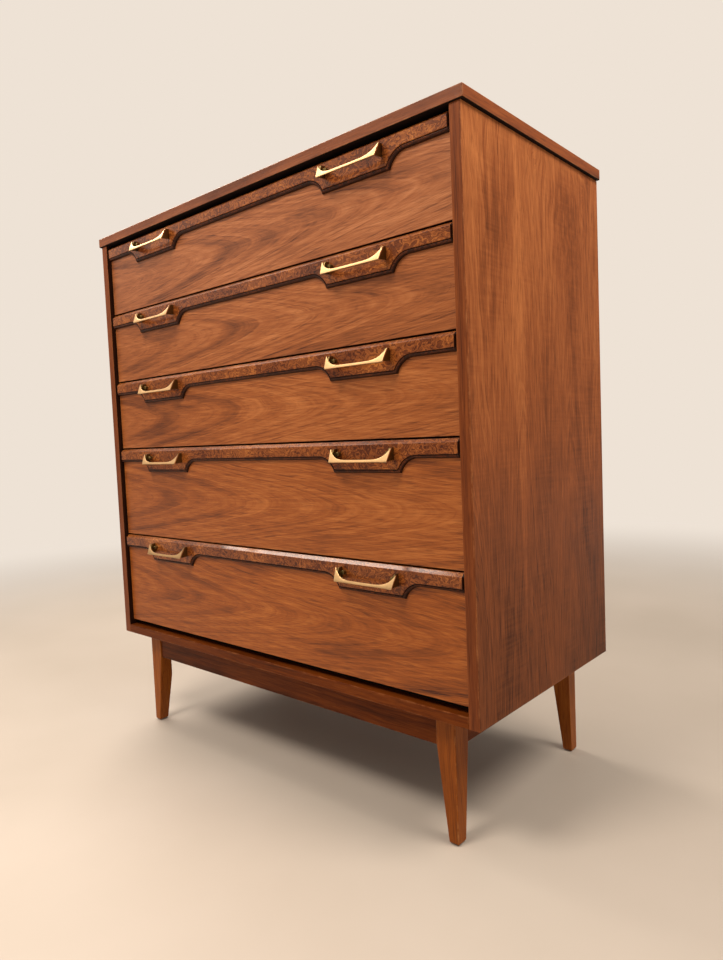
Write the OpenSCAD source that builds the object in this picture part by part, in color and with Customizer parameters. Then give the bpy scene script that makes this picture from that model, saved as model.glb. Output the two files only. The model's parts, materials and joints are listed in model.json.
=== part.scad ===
// Five-drawer highboy dresser on a tapered-leg base.
// Millimetres, +Z up. The origin is on the floor, under the centre of the whole
// dresser's box, which reaches from the fronts of the pulls to the back of the case.

/* [Case] */
// Width over the two side panels
case_width = 966; // [900:1:1100]
// Height from the underside of the case to the underside of the top
case_height = 886; // [870:1:960]
// Depth from the front edges of the sides to the back
case_depth = 457; // [420:1:520]
// Thickness of the side panels and of the top
panel_thickness = 19; // [16:0.5:22]
// Thickness of the bottom panel
bottom_thickness = 18; // [15:0.5:20]
// Thickness of the plywood back panel
back_thickness = 5; // [4:0.5:8]
// How far the top stands past each side
top_side_overhang = 6; // [2:0.5:15]
// How far the top stands past the front edges of the sides
top_front_overhang = 3.5; // [1:0.5:15]

/* [Frames] */
// Thickness of the divider frames between the drawers
frame_thickness = 18; // [15:0.5:20]
// Width of the frame rails and runners
frame_rail_width = 50; // [40:1:70]
// Thickness of the dust panel held in each divider frame
dust_panel_thickness = 4; // [3:0.5:6]

/* [Base] */
// Height of the case above the floor, glides included
leg_height = 207; // [180:1:240]
// Width of a leg where it meets the case
leg_width = 36; // [32:1:44]
// Depth of a front leg where it meets the case
front_leg_depth = 36; // [32:1:44]
// Depth of a rear leg where it meets the case
rear_leg_depth = 28; // [27:1:36]
// Width of the eased inner corner at the top of a front leg
leg_ease_width = 14; // [8:1:20]
// Depth of the eased inner corner at the top of a front leg
leg_ease_depth = 9; // [4:1:12]
// Width of a leg at the foot
foot_width = 18; // [17:1:24]
// Depth of a leg at the foot
foot_depth = 22; // [20:1:26]
// Distance from the outside of the case side to the outer face of a leg
leg_side_inset = 62; // [30:1:90]
// Distance from the front edge of the case to the front face of a front leg
leg_front_inset = 26.5; // [10:0.5:60]
// Distance from the back of the case to the rear face of a rear leg
leg_rear_inset = 6; // [4:1:40]
// Height of the aprons, and the length over which a leg is not tapered
apron_height = 54; // [40:1:70]
// Thickness of the aprons
apron_thickness = 19; // [15:1:24]
// How far the aprons stand behind the outer faces of the legs
apron_recess = 3; // [1:0.5:8]
// Radius of the metal glides under the feet
glide_radius = 8; // [6:0.5:8.5]
// Thickness of the metal glides
glide_thickness = 2.5; // [2:0.5:5]

/* [Drawer fronts] */
// Height of the top edge of the highest front above the underside of the case
highest_front_top = 880.5; // [876:0.5:882]
// Height of the bottom edge of the lowest front above the underside of the case
lowest_front_bottom = 30; // [28:1:34]
// Distance from one shallow drawer to the next
shallow_pitch = 151.7; // [140:0.1:155]
// Distance from the fourth drawer to the fifth
deep_pitch = 196.4; // [180:0.1:205]
// Gap between one front and the next
front_gap = 3; // [2:0.5:4]
// Gap between a front and each case side
side_gap = 3; // [1.5:0.5:4]
// Thickness of a drawer front
front_thickness = 19; // [17:1:22]
// How far the face of a front stands behind the front edges of the case
front_recess = 8.5; // [7:0.5:12]

/* [Burl rails] */
// Height of the rail that runs along the top of a front
rail_height = 28.8; // [24:0.1:34]
// How far the rail stands out from the front
rail_thickness = 6.5; // [4:0.5:6.5]
// Height of the rail where it drops to form a tab behind a pull
tab_height = 51; // [44:0.5:60]
// Width of the straight bottom edge of a tab
tab_bottom_width = 141; // [130:1:160]
// Radius of the coves that lead from the rail into a tab
tab_cove_radius = 33.5; // [26:0.5:40]
// Height of the bevel along the top edge of the rail
rail_bevel = 5.5; // [3:0.5:8]
// How far the nose of the moulding is rounded back along the lower edge of the rail
moulding_round = 2.5; // [1:0.5:4]

/* [Pulls] */
// Distance from the middle of the dresser to the middle of a pull
pull_offset = 281; // [240:1:320]
// Width of a pull at its lower corners
pull_width = 122; // [110:1:140]
// Height of the pointed tips above the lower corners
pull_height = 22; // [18:1:26]
// How far a tip stands out past its lower corner
pull_flare = 3; // [1:0.5:6]
// Distance from the face of the rail to the front of a pull
pull_projection = 20; // [17:0.5:26]
// How far the tips lean back from the lower edge
pull_lean = 10; // [6:0.5:11]
// Height of the bar in the middle of a pull
bar_height = 6; // [5:0.5:9]
// Thickness of the metal
pull_metal = 3; // [2.5:0.5:4]
// Height of the lower corners of a pull below the top edge of its front
pull_drop = 32.6; // [29:0.1:36]
// Radius of the screws that hold the pulls
screw_radius = 2; // [1.5:0.5:2.5]

/* [Drawer boxes] */
// Thickness of the sides and back of a drawer box
box_board = 12; // [10:1:14]
// Thickness of the drawer bottoms
box_bottom_thickness = 5; // [4:0.5:6]
// Distance from the back edges of a drawer box to the back panel
box_rear_gap = 17; // [8:1:40]
// Number of dovetails at the front end of a shallow drawer side
shallow_tails = 4; // [3:1:5]

/* [Hidden] */
DRAWERS = [1 : 5];
SIDES = ["left", "right"];
$fn = 48;

// The front edges of the case, measured from the middle of the dresser's box.
pull_front = rail_thickness + pull_projection - front_recess;
case_front = -(case_depth - pull_front) / 2;
inner_width = case_width - 2 * panel_thickness;
front_width = inner_width - 2 * side_gap;

// Drawer fronts, as heights above the underside of the case.
front_tops = [
    highest_front_top,
    highest_front_top - shallow_pitch,
    highest_front_top - 2 * shallow_pitch,
    highest_front_top - 3 * shallow_pitch,
    highest_front_top - 3 * shallow_pitch - deep_pitch
];
function front_top(i) = front_tops[i - 1];
function front_bottom(i) = i < 5 ? front_top(i + 1) + front_gap : lowest_front_bottom;
function front_height(i) = front_top(i) - front_bottom(i);
function gap_middle(i) = front_bottom(i) - front_gap / 2;

// Depths behind the front edges of the case.
front_back = front_recess + front_thickness;
rail_face = front_recess - rail_thickness;
frame_front = front_back + 1;
back_panel_front = case_depth - back_thickness;
box_back = back_panel_front - box_rear_gap;

// Drawer boxes: they run on the frame below and stay clear of the one above.
run_clearance = 0.5;
top_clearance = 6;
function box_low(i) = gap_middle(i) + frame_thickness / 2 + run_clearance;
function box_high(i) = front_top(i) + front_gap / 2 - frame_thickness / 2 - top_clearance;
function box_height(i) = box_high(i) - box_low(i);
groove_depth = 5;
groove_height = 10;
joint_clearance = 0.1;
back_drop = 8;

// Half-blind dovetails that join the sides to a front.
tail_length = 13;
tail_slope = 2;
function tail_count(i) = i < 4 ? shallow_tails : shallow_tails + 1;

// Tabs of the burl rails.
cove_drop = tab_height - rail_height;
cove_angle = acos(1 - cove_drop / tab_cove_radius);
cove_run = tab_cove_radius * sin(cove_angle);
tab_top_half = tab_bottom_width / 2 + cove_run;

// Pulls, measured from the middle of the line between the lower corners.
lean_angle = atan(pull_lean / pull_height);
face_length = pull_height / cos(lean_angle);
half_pull = pull_width / 2;
tip_half = half_pull + pull_flare;
boss_radius = 4.5;
boss_length = 7;
boss_offset = half_pull - pull_metal - boss_radius - 1;
boss_height = 13;
screw_head_radius = 4.5;
screw_head_height = 2.5;
screw_bite = 6;
clearance_hole = screw_radius + 0.3;
thread_hole = screw_radius + 0.05;

// Legs: outer faces are upright and the two inner faces taper.
function leg_depth(place) = place == "front" ? front_leg_depth : rear_leg_depth;
leg_outer = case_width / 2 - leg_side_inset;
leg_front = leg_front_inset;
leg_back = case_depth - leg_rear_inset;
foot_bottom = -(leg_height - glide_thickness);
LEGS = [["front", "left"], ["front", "right"], ["rear", "left"], ["rear", "right"]];

function drawer_name(i, what) = str("drawer_", i, "_", what);

// ---- helpers -------------------------------------------------------------

// Moves a shape drawn from the front edge and underside of the case into place.
module in_case() {
    translate([0, case_front, leg_height]) children();
}

// A board given by its lowest corner and its size.
module board(corner, size) {
    translate(corner) cube(size);
}

// An outline drawn in X and Z, made solid from depth y towards the back.
module upright_slab(y, thickness) {
    translate([0, y + thickness, 0]) rotate([90, 0, 0]) linear_extrude(thickness) children();
}

// An outline drawn in Y and Z, made solid from x towards +X.
module cross_slab(x, thickness) {
    translate([x, 0, 0]) rotate([90, 0, 90]) linear_extrude(thickness) children();
}

module both_sides() {
    children();
    mirror([1, 0, 0]) children();
}

// ---- case ----------------------------------------------------------------

module top_panel() {
    color("sienna") in_case()
        board(
            [-case_width / 2 - top_side_overhang, -top_front_overhang, case_height],
            [case_width + 2 * top_side_overhang, case_depth + top_front_overhang, panel_thickness]
        );
}

// The back panel sits in a rebate cut into the rear inner edge of each side.
module side_panel_right() {
    color("sienna") in_case() difference() {
        board([inner_width / 2, 0, 0], [panel_thickness, case_depth, case_height]);
        board(
            [inner_width / 2 - 1, back_panel_front, -1],
            [panel_thickness / 2 + 1, back_thickness + 1, case_height + 2]
        );
    }
}

module side_panel_left() {
    mirror([1, 0, 0]) side_panel_right();
}

module bottom_panel() {
    color("saddlebrown") in_case()
        board([-inner_width / 2, 0, 0], [inner_width, back_panel_front, bottom_thickness]);
}

module back_panel() {
    back_width = inner_width + panel_thickness - 1;
    color("peru") in_case()
        board([-back_width / 2, back_panel_front, 0], [back_width, back_thickness, case_height]);
}

// Front and rear rails with a runner at each side, as separate boards.
module frame_boards(low, thickness) {
    start = frame_front + frame_rail_width + joint_clearance;
    runner_length = back_panel_front - frame_rail_width - joint_clearance - start;
    for (y = [frame_front, back_panel_front - frame_rail_width])
        board([-inner_width / 2, y, low], [inner_width, frame_rail_width, thickness]);
    for (x = [-inner_width / 2, inner_width / 2 - frame_rail_width])
        board([x, start, low], [frame_rail_width, runner_length, thickness]);
}

// The panel that fills a frame, with its edges in grooves; grow widens it for the groove.
module dust_panel(low, grow) {
    inset = frame_rail_width - groove_depth;
    width = inner_width - 2 * inset;
    length = back_panel_front - frame_front - 2 * inset;
    board(
        [-width / 2 - grow, frame_front + inset - grow, low + (frame_thickness - dust_panel_thickness) / 2 - grow],
        [width + 2 * grow, length + 2 * grow, dust_panel_thickness + 2 * grow]
    );
}

module divider_frame(k) {
    low = gap_middle(k) - frame_thickness / 2;
    color("burlywood") in_case() {
        difference() {
            frame_boards(low, frame_thickness);
            dust_panel(low, joint_clearance);
        }
        dust_panel(low, 0);
    }
}

module top_frame() {
    low = front_top(1) + front_gap / 2 - frame_thickness / 2;
    color("burlywood") in_case() frame_boards(low, case_height - low);
}

// The lowest drawer runs on strips that stand on the bottom panel.
module bottom_runners() {
    thickness = gap_middle(5) + frame_thickness / 2 - bottom_thickness;
    start = frame_front + frame_rail_width + joint_clearance;
    color("burlywood") in_case() {
        board([-inner_width / 2, frame_front, bottom_thickness], [inner_width, frame_rail_width, thickness]);
        for (x = [-inner_width / 2, inner_width / 2 - frame_rail_width])
            board([x, start, bottom_thickness], [frame_rail_width, back_panel_front - start, thickness]);
    }
}

// ---- base ----------------------------------------------------------------

// One leg in its own corner: outer faces at x = 0 and y = 0, top at z = 0.
module tapered_leg(top_depth, ease_width, ease_depth) {
    intersection() {
        upright_slab(0, top_depth)
            polygon([
                [0, 0], [-leg_width, 0], [-leg_width, -apron_height],
                [-foot_width, foot_bottom], [0, foot_bottom]
            ]);
        cross_slab(-leg_width, leg_width)
            polygon([
                [0, 0], [top_depth, 0], [top_depth, -apron_height],
                [foot_depth, foot_bottom], [0, foot_bottom]
            ]);
        translate([0, 0, foot_bottom])
            linear_extrude(-foot_bottom)
                polygon([
                    [0, 0], [-leg_width, 0], [-leg_width, top_depth - ease_depth],
                    [-leg_width + ease_width, top_depth], [0, top_depth]
                ]);
    }
}

// Moves a shape from the front right corner's frame to the named corner.
module at_leg(place, side) {
    in_case()
        mirror([side == "left" ? 1 : 0, 0, 0])
            translate([leg_outer, place == "front" ? leg_front : leg_back, 0])
                mirror([0, place == "rear" ? 1 : 0, 0])
                    children();
}

module leg(place, side) {
    eased = place == "front";
    color("chocolate") at_leg(place, side)
        tapered_leg(leg_depth(place), eased ? leg_ease_width : 1, eased ? leg_ease_depth : 1);
}

module glides() {
    color("silver")
        for (leg = LEGS)
            at_leg(leg[0], leg[1])
                translate([-foot_width / 2 - 0.5, foot_depth / 2, foot_bottom - glide_thickness])
                    cylinder(r = glide_radius, h = glide_thickness);
}

module cross_apron(y) {
    half = leg_outer - leg_width;
    color("saddlebrown") in_case()
        board([-half, y, -apron_height], [2 * half, apron_thickness, apron_height]);
}

module apron_front() {
    cross_apron(leg_front + apron_recess);
}

module apron_rear() {
    cross_apron(leg_back - apron_recess - apron_thickness);
}

module side_aprons() {
    x = leg_outer - apron_recess - apron_thickness;
    start = leg_front + front_leg_depth;
    run = leg_back - rear_leg_depth - start;
    color("saddlebrown") in_case() both_sides()
        board([x, start, -apron_height], [apron_thickness, run, apron_height]);
}

// Glued blocks across the inner corners, from one apron to the next behind each leg.
module corner_blocks() {
    reach = 62;
    inner = apron_recess + apron_thickness;
    color("burlywood")
        for (leg = LEGS)
            at_leg(leg[0], leg[1])
                translate([-leg_width, leg_depth(leg[0]), -apron_height / 2])
                    linear_extrude(apron_height / 2)
                        polygon([
                            [0, 0], [-reach / 2, inner - leg_depth(leg[0])],
                            [-reach, inner - leg_depth(leg[0])],
                            [leg_width - inner, reach], [leg_width - inner, reach / 2]
                        ]);
}

// ---- drawers -------------------------------------------------------------

// Tails seen from the side, growing from the front end of a drawer side.
module tails(i, grow) {
    pitch = box_height(i) / tail_count(i);
    for (k = [0 : tail_count(i) - 1])
        translate([front_back, box_low(i) + (k + 0.5) * pitch])
            polygon([
                [1, -pitch / 3 + tail_slope - grow], [1, pitch / 3 - tail_slope + grow],
                [-tail_length - grow, pitch / 3 + grow], [-tail_length - grow, -pitch / 3 - grow]
            ]);
}

module drawer_front(i) {
    color("peru") in_case() difference() {
        board(
            [-front_width / 2, front_recess, front_bottom(i)],
            [front_width, front_thickness, front_height(i)]
        );
        both_sides()
            cross_slab(front_width / 2 - box_board - joint_clearance, box_board + 1) intersection() {
                tails(i, joint_clearance);
                translate([0, front_bottom(i)]) square([front_back + 1, front_height(i)]);
            }
        screw_places(i) rotate([-90, 0, 0]) cylinder(r = clearance_hole, h = front_back + 1);
        bottom_groove(i);
    }
}

// The groove that holds the drawer bottom, cut into the front and both sides.
module bottom_groove(i) {
    board(
        [-front_width / 2 + box_board - groove_depth - joint_clearance, front_back - groove_depth,
            box_low(i) + groove_height],
        [front_width - 2 * (box_board - groove_depth - joint_clearance), box_back,
            box_bottom_thickness + joint_clearance]
    );
}

// The outline of a burl rail with its two tabs, shrunk inwards by inset along the lower edge.
module rail_outline(i, inset) {
    top = front_top(i);
    radius = tab_cove_radius + inset;
    low = top - tab_height + inset;
    angle = acos(1 - (cove_drop) / radius);
    arc = [for (k = [0 : 8]) angle * k / 8];
    function cove(side, a) = [
        pull_offset + side * (tab_top_half - radius * sin(a)),
        top - rail_height + inset - radius * (1 - cos(a))
    ];
    half = concat(
        [for (a = arc) cove(-1, a)],
        [for (k = [8 : -1 : 0]) cove(1, arc[k])],
        [[front_width / 2, top - rail_height + inset], [front_width / 2, top], [0, top]]
    );
    outline = concat(half, [for (k = [len(half) - 2 : -1 : 0]) [-half[k][0], half[k][1]]]);
    polygon(outline);
}

module burl_rail(i) {
    nose = rail_thickness / 2;
    bevel_angle = atan(rail_thickness / rail_bevel);
    color("saddlebrown") in_case() difference() {
        union() {
            upright_slab(rail_face, nose) rail_outline(i, moulding_round);
            upright_slab(rail_face + nose, rail_thickness - nose) rail_outline(i, 0);
        }
        translate([0, rail_face, front_top(i) - rail_bevel])
            rotate([-bevel_angle, 0, 0])
                translate([-front_width / 2 - 1, -2 * rail_thickness, 0])
                    cube([front_width + 2, 2 * rail_thickness, 3 * rail_bevel]);
        screw_places(i) rotate([-90, 0, 0]) cylinder(r = clearance_hole, h = front_recess);
    }
}

module drawer_sides(i) {
    color("wheat") in_case() difference() {
        both_sides()
            cross_slab(front_width / 2 - box_board, box_board) union() {
                translate([front_back, box_low(i)]) square([box_back - front_back, box_height(i)]);
                tails(i, 0);
            }
        bottom_groove(i);
    }
}

// The back stands on the drawer bottom, which slides in below it.
module drawer_back(i) {
    low = box_low(i) + groove_height + box_bottom_thickness + joint_clearance;
    half = front_width / 2 - box_board;
    color("wheat") in_case()
        board([-half, box_back - box_board, low], [2 * half, box_board, box_high(i) - back_drop - low]);
}

module drawer_bottom(i) {
    half = front_width / 2 - box_board + groove_depth;
    start = front_back - groove_depth + joint_clearance;
    color("tan") in_case()
        board([-half, start, box_low(i) + groove_height], [2 * half, box_back - start, box_bottom_thickness]);
}

// ---- pulls ---------------------------------------------------------------

// Moves a shape from the middle of a pull's lower edge, on the rail's face, to its place.
module at_pull(i, side) {
    in_case()
        translate([side * pull_offset, rail_face, front_top(i) - pull_drop])
            children();
}

// The places of the four screws of one drawer, at the front edge of the case.
module screw_places(i) {
    for (side = [-1, 1], end = [-1, 1])
        translate([side * pull_offset + end * boss_offset, 0, front_top(i) - pull_drop + boss_height])
            children();
}

// The face of a pull, drawn flat: a straight lower edge, pointed tips and a hollow upper edge.
module pull_face() {
    steps = 12;
    function hollow(t) = [tip_half * t, bar_height + (face_length - bar_height) * pow(abs(t), 5)];
    polygon(concat(
        [[-half_pull, 0], [half_pull, 0]],
        [for (k = [steps : -1 : -steps]) hollow(k / steps)]
    ));
}

module pull(i, side) {
    plate_low = 2;
    color("gold") at_pull(i, side) difference() {
        union() {
            translate([0, -pull_projection, 0])
                rotate([-lean_angle, 0, 0])
                    upright_slab(0, pull_metal) pull_face();
            both_sides()
                cross_slab(half_pull - pull_metal, pull_metal)
                    polygon([
                        [-pull_projection + pull_metal / 2, 0.5], [0, plate_low], [0, pull_height],
                        [-pull_projection + pull_lean + pull_metal / 2, pull_height - 1]
                    ]);
            both_sides()
                translate([boss_offset, -boss_length, boss_height])
                    rotate([-90, 0, 0]) cylinder(r = boss_radius, h = boss_length);
            both_sides()
                board(
                    [boss_offset, -boss_length, boss_height - boss_radius],
                    [half_pull - boss_offset - pull_metal / 2, boss_length, 2 * boss_radius]
                );
        }
        both_sides()
            translate([boss_offset, -screw_bite, boss_height])
                rotate([-90, 0, 0]) cylinder(r = thread_hole, h = screw_bite + 1);
    }
}

module pull_screws(i) {
    tip = rail_face - screw_bite + 0.5;
    color("silver") in_case() screw_places(i) rotate([-90, 0, 0]) {
        translate([0, 0, tip]) cylinder(r = screw_radius, h = front_back - tip);
        translate([0, 0, front_back]) cylinder(r = screw_head_radius, h = screw_head_height);
    }
}

// ---- nodes ---------------------------------------------------------------

top_panel();
side_panel_left();
side_panel_right();
bottom_panel();
back_panel();
top_frame();
bottom_runners();
apron_front();
apron_rear();
side_aprons();
corner_blocks();
glides();
for (k = [1 : 4])
    divider_frame(k);
for (place = LEGS)
    leg(place[0], place[1]);
for (i = DRAWERS) {
    drawer_front(i);
    burl_rail(i);
    drawer_sides(i);
    drawer_back(i);
    drawer_bottom(i);
    pull(i, -1);
    pull(i, 1);
    pull_screws(i);
}
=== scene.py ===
"""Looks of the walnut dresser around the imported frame.

Woods, burl rails, brass pulls, screws and glides, then the floor, the lamps and the world. Metres and Z up,
except where a comment says millimetres.
"""

import json
import math

import bmesh
import bpy
from mathutils import Matrix, Vector


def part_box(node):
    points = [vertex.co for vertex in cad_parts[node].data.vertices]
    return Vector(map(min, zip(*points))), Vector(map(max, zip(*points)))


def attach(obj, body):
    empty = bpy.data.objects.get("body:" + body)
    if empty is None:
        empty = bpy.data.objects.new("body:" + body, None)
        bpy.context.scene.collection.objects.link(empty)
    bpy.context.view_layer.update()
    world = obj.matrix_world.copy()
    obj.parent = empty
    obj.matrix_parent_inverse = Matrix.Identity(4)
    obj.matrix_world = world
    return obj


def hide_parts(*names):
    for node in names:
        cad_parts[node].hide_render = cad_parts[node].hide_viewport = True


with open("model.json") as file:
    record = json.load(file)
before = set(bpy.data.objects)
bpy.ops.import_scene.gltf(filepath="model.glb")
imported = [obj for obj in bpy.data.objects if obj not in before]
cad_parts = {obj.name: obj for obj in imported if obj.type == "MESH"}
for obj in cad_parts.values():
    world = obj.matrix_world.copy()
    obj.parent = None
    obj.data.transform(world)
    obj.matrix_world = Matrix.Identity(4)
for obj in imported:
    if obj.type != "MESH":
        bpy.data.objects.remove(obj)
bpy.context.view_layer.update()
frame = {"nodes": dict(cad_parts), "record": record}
scene = bpy.context.scene
body_of = {node: body for body, nodes in frame["record"]["behaviour"]["bodies"].items() for node in nodes}
DRAWERS = range(1, 6)
MM = 0.001
X, Y, Z = 0, 1, 2
FRONT, BACK = (0, -1, 0), (0, 1, 0)


# ---- camera -----------------------------------------------------------------

# Solved from the straight edges of the case in the photograph. The turn is in degrees.
CAMERA_AT = (1.0118, -1.0535, 0.6403)
CAMERA_TURN = (86.409, 2.395, 41.295)
FOCAL_LENGTH = 26.066
SENSOR_WIDTH = 36.0

camera = bpy.data.objects.new("camera", bpy.data.cameras.new("camera"))
scene.collection.objects.link(camera)
camera.location = CAMERA_AT
camera.rotation_euler = [math.radians(angle) for angle in CAMERA_TURN]
camera.data.sensor_width = SENSOR_WIDTH
camera.data.lens = FOCAL_LENGTH
camera.data.clip_start = 0.02
scene.camera = camera


# ---- material helpers ---------------------------------------------------------

def linear(r, g, b):
    """An sRGB colour, 0 to 255, as the linear RGBA that a node takes."""
    def one(c):
        c /= 255
        return c / 12.92 if c <= 0.04045 else ((c + 0.055) / 1.055) ** 2.4
    return (one(r), one(g), one(b), 1.0)


class Tree:
    """A material's node tree, with a short call for each kind of node."""

    def __init__(self, name, **sockets):
        self.material = bpy.data.materials.new(name)
        self.material.use_nodes = True
        self.tree = self.material.node_tree
        self.shader = self.tree.nodes["Principled BSDF"]
        for socket, value in sockets.items():
            self.shader.inputs[socket.replace("_", " ")].default_value = value
        self.place = self.node("ShaderNodeTexCoord").outputs["Object"]

    def node(self, kind, inputs=(), **settings):
        made = self.tree.nodes.new(kind)
        for key, value in settings.items():
            setattr(made, key, value)
        for key, value in dict(inputs).items():
            if isinstance(value, bpy.types.NodeSocket):
                self.tree.links.new(value, made.inputs[key])
            elif value is not None:
                made.inputs[key].default_value = value
        return made

    def math(self, operation, a, b=None, c=None, clamp=False):
        return self.node(
            "ShaderNodeMath", {0: a, 1: b, 2: c}, operation=operation, use_clamp=clamp
        ).outputs[0]

    def add(self, total, value, weight, mean=0.5):
        """total, plus weight times how far value is from its mean."""
        if mean:
            value = self.math("SUBTRACT", value, mean)
        return self.math("MULTIPLY_ADD", value, weight, total)

    def vector(self, operation, a, b=None, output=0):
        return self.node("ShaderNodeVectorMath", {0: a, 1: b}, operation=operation).outputs[output]

    def split(self, vector):
        return self.node("ShaderNodeSeparateXYZ", {0: vector}).outputs

    def join(self, x, y, z):
        return self.node("ShaderNodeCombineXYZ", {0: x, 1: y, 2: z}).outputs[0]

    def noise(self, place, scale=1.0, detail=2.0, roughness=0.5, w=0.0, output=0):
        return self.node(
            "ShaderNodeTexNoise",
            {"Vector": place, "W": w, "Scale": scale, "Detail": detail, "Roughness": roughness},
            noise_dimensions="4D",
        ).outputs[output]

    def line_noise(self, value, detail=2.0, roughness=0.5, seed=0.0):
        """Noise along one number, so that it is the same all along a growth ring."""
        return self.node(
            "ShaderNodeTexNoise",
            {"W": self.math("ADD", value, seed), "Scale": 1.0, "Detail": detail, "Roughness": roughness},
            noise_dimensions="1D",
        ).outputs[0]

    def span(self, value, low, high, to_low=0.0, to_high=1.0, smooth=False):
        return self.node(
            "ShaderNodeMapRange",
            {"Value": value, "From Min": low, "From Max": high, "To Min": to_low, "To Max": to_high},
            interpolation_type="SMOOTHSTEP" if smooth else "LINEAR",
        ).outputs[0]

    def ramp(self, value, *stops):
        made = self.node("ShaderNodeValToRGB", {0: value})
        points = made.color_ramp.elements
        while len(points) < len(stops):
            points.new(0.5)
        for point, (at, colour) in zip(points, stops):
            point.position = at
            point.color = colour
        return made.outputs[0]

    def mix(self, share, a, b):
        """Colour a, with a share of colour b."""
        made = self.node("ShaderNodeMix", data_type="RGBA")
        for socket, value in ((made.inputs[0], share), (made.inputs[6], a), (made.inputs[7], b)):
            if isinstance(value, bpy.types.NodeSocket):
                self.tree.links.new(value, socket)
            else:
                socket.default_value = value
        return made.outputs[2]

    def edge(self, low, high, width):
        """1 along the edges of a box, 0 from width inwards: the middle one of the distances to its faces."""
        near = self.vector(
            "MINIMUM",
            self.vector("SUBTRACT", self.place, tuple(low)),
            self.vector("SUBTRACT", tuple(high), self.place),
        )
        x, y, z = self.split(near)
        most = self.math("MAXIMUM", self.math("MAXIMUM", x, y), z)
        least = self.math("MINIMUM", self.math("MINIMUM", x, y), z)
        total = self.math("ADD", self.math("ADD", x, y), z)
        middle = self.math("SUBTRACT", self.math("SUBTRACT", total, most), least)
        return self.span(middle, 0.0, width, 1.0, 0.0)

    def finish(self, colour, roughness, bump=None, strength=0.3, distance=0.0002):
        """Links the colour, the roughness and the bump, and gives the material."""
        self.tree.links.new(colour, self.shader.inputs["Base Color"])
        self.tree.links.new(roughness, self.shader.inputs["Roughness"])
        if bump:
            height = self.node(
                "ShaderNodeBump", {"Height": bump, "Strength": strength, "Distance": distance}
            )
            self.tree.links.new(height.outputs[0], self.shader.inputs["Normal"])
        return self.material


def swap(parts, along):
    """The three coordinates as (along the grain, across it, depth)."""
    across, depth = {X: (Z, Y), Y: (Z, X), Z: (Y, X)}[along]
    return parts[along], parts[across], parts[depth]


# Noise in the wood: scale along the grain, scale across it, detail, roughness, and what is added to the seed.
FIELDS = {
    "wander": (2.6, 11.0, 3.0, 0.55, 0),    # slow drift of the growth rings
    "knot": (9.0, 13.0, 2.5, 0.5, 4),       # swirls in the wild part of a veneer
    "waver": (16.0, 70.0, 2.0, 0.5, 3),     # small waves in the rings
    "broad": (4.2, 16.0, 3.0, 0.6, 6),      # smoky patches
    "broken": (10.0, 180.0, 2.0, 0.5, 7),   # where a dark vein stops for a while
    "streaks": (6.0, 170.0, 4.0, 0.75, 8),
    "fibres": (20.0, 420.0, 3.0, 0.65, 0),
    "dashes": (34.0, 520.0, 1.0, 0.5, 1),
    "pores": (90.0, 1900.0, 1.0, 0.5, 1),
    "blotch": (3.0, 7.0, 3.0, 0.5, 11),
    "curl": (230.0, 14.0, 1.0, 0.5, 5),     # ripples across the grain
}
RUB_WIDTH = 0.0030  # how far the rubbed wear reaches from an edge


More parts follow.
